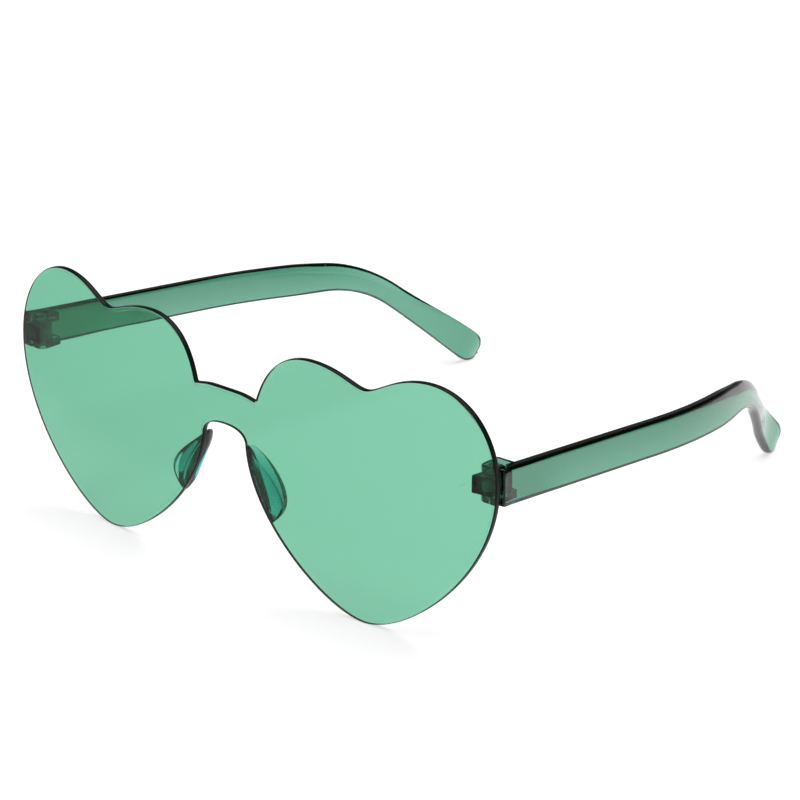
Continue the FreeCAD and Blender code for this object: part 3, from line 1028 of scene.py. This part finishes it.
# Table, light and camera
def table():
    """A wide white disc that keeps its shadows, lifted to white for the eye, for glass and for mirrors.

    The lift that mirrors see fades out in front of the lens, so that the lens's front reflects little of it.
    """
    angle = np.linspace(0, 2 * math.pi, table_sides, endpoint=False)
    points = table_radius * np.stack([np.cos(angle), np.sin(angle), np.zeros_like(angle)], axis=1)
    mesh = bpy.data.meshes.new("table")
    mesh.from_pydata(points, [], [list(range(table_sides))])
    obj = bpy.data.objects.new("table", mesh)
    bpy.context.scene.collection.objects.link(obj)
    material, tree, shader = new_material("white_table")
    shader.inputs["Base Color"].default_value = table_colour
    shader.inputs["Roughness"].default_value = table_roughness
    shader.inputs["Specular IOR Level"].default_value = 0
    shader.inputs["Emission Color"].default_value = (1, 1, 1, 1)
    path = tree.nodes.new("ShaderNodeLightPath")
    geometry = tree.nodes.new("ShaderNodeNewGeometry")
    position = tree.nodes.new("ShaderNodeSeparateXYZ")
    behind = tree.nodes.new("ShaderNodeMapRange")
    behind.inputs["From Min"].default_value = mirror_lift_none_y
    behind.inputs["From Max"].default_value = mirror_lift_full_y
    behind.inputs["To Max"].default_value = mirror_lift
    mirrored = scalar_math(tree, "MULTIPLY")
    through = scalar_math(tree, "MULTIPLY")
    through.inputs[1].default_value = glass_lift
    seen = scalar_math(tree, "MULTIPLY")
    seen.inputs[1].default_value = eye_lift
    clear = scalar_math(tree, "MAXIMUM")
    lift = tree.nodes.new("ShaderNodeMix")
    link_up(tree, [
        (geometry.outputs["Position"], position.inputs["Vector"]),
        (position.outputs["Y"], behind.inputs["Value"]),
        (path.outputs["Is Glossy Ray"], mirrored.inputs[0]),
        (behind.outputs["Result"], mirrored.inputs[1]),
        (path.outputs["Is Transmission Ray"], through.inputs[0]),
        (path.outputs["Is Camera Ray"], seen.inputs[0]),
        (mirrored.outputs[0], clear.inputs[0]),
        (seen.outputs[0], clear.inputs[1]),
        (path.outputs["Is Transmission Ray"], lift.inputs["Factor"]),
        (clear.outputs[0], lift.inputs["A"]),
        (through.outputs[0], lift.inputs["B"]),
        (lift.outputs["Result"], shader.inputs["Emission Strength"]),
    ])
    mesh.materials.append(material)


def studio():
    """A room that dims from the horizon up, white where the eye looks at it, and one soft box overhead."""
    world = bpy.data.worlds.new("studio")
    world.use_nodes = True
    tree = world.node_tree
    background = tree.nodes["Background"]
    background.inputs["Color"].default_value = (1, 1, 1, 1)
    path = tree.nodes.new("ShaderNodeLightPath")
    coordinates = tree.nodes.new("ShaderNodeTexCoord")
    direction = tree.nodes.new("ShaderNodeSeparateXYZ")
    fade = tree.nodes.new("ShaderNodeMapRange")
    fade.interpolation_type = "SMOOTHSTEP"
    fade.inputs["From Max"].default_value = room_upper_rise
    fade.inputs["To Min"].default_value = room_level_light
    fade.inputs["To Max"].default_value = room_upper_light
    level = scalar_math(tree, "MAXIMUM")
    link_up(tree, [
        (coordinates.outputs["Generated"], direction.inputs["Vector"]),
        (direction.outputs["Z"], fade.inputs["Value"]),
        (fade.outputs["Result"], level.inputs[0]),
        (path.outputs["Is Camera Ray"], level.inputs[1]),
        (level.outputs[0], background.inputs["Strength"]),
    ])
    bpy.context.scene.world = world
    lamp = bpy.data.lights.new("soft_box", "AREA")
    lamp.shape = "SQUARE"
    lamp.size = soft_box_size
    lamp.energy = soft_box_power
    obj = bpy.data.objects.new("soft_box", lamp)
    obj.location = soft_box_place
    bpy.context.scene.collection.objects.link(obj)


def camera():
    """The photograph's eye: where it stands, where it looks, and its angle of view."""
    front = np.array([0, front_y, 0])
    eye = front + eye_place
    aim = front + aim_place
    back = (eye - aim) / np.linalg.norm(eye - aim)
    right = np.cross([0, 0, 1.0], back)
    right /= np.linalg.norm(right)
    data = bpy.data.cameras.new("camera")
    data.sensor_width = sensor_width
    data.lens = focal_length
    data.clip_start = clip_start * MM
    obj = bpy.data.objects.new("camera", data)
    matrix = np.eye(4)
    matrix[:3, 0] = right
    matrix[:3, 1] = np.cross(back, right)
    matrix[:3, 2] = back
    matrix[:3, 3] = eye * MM
    obj.matrix_world = matrix.T
    bpy.context.scene.collection.objects.link(obj)
    bpy.context.scene.camera = obj


table()
studio()
camera()
bpy.context.scene.view_settings.view_transform = "Standard"
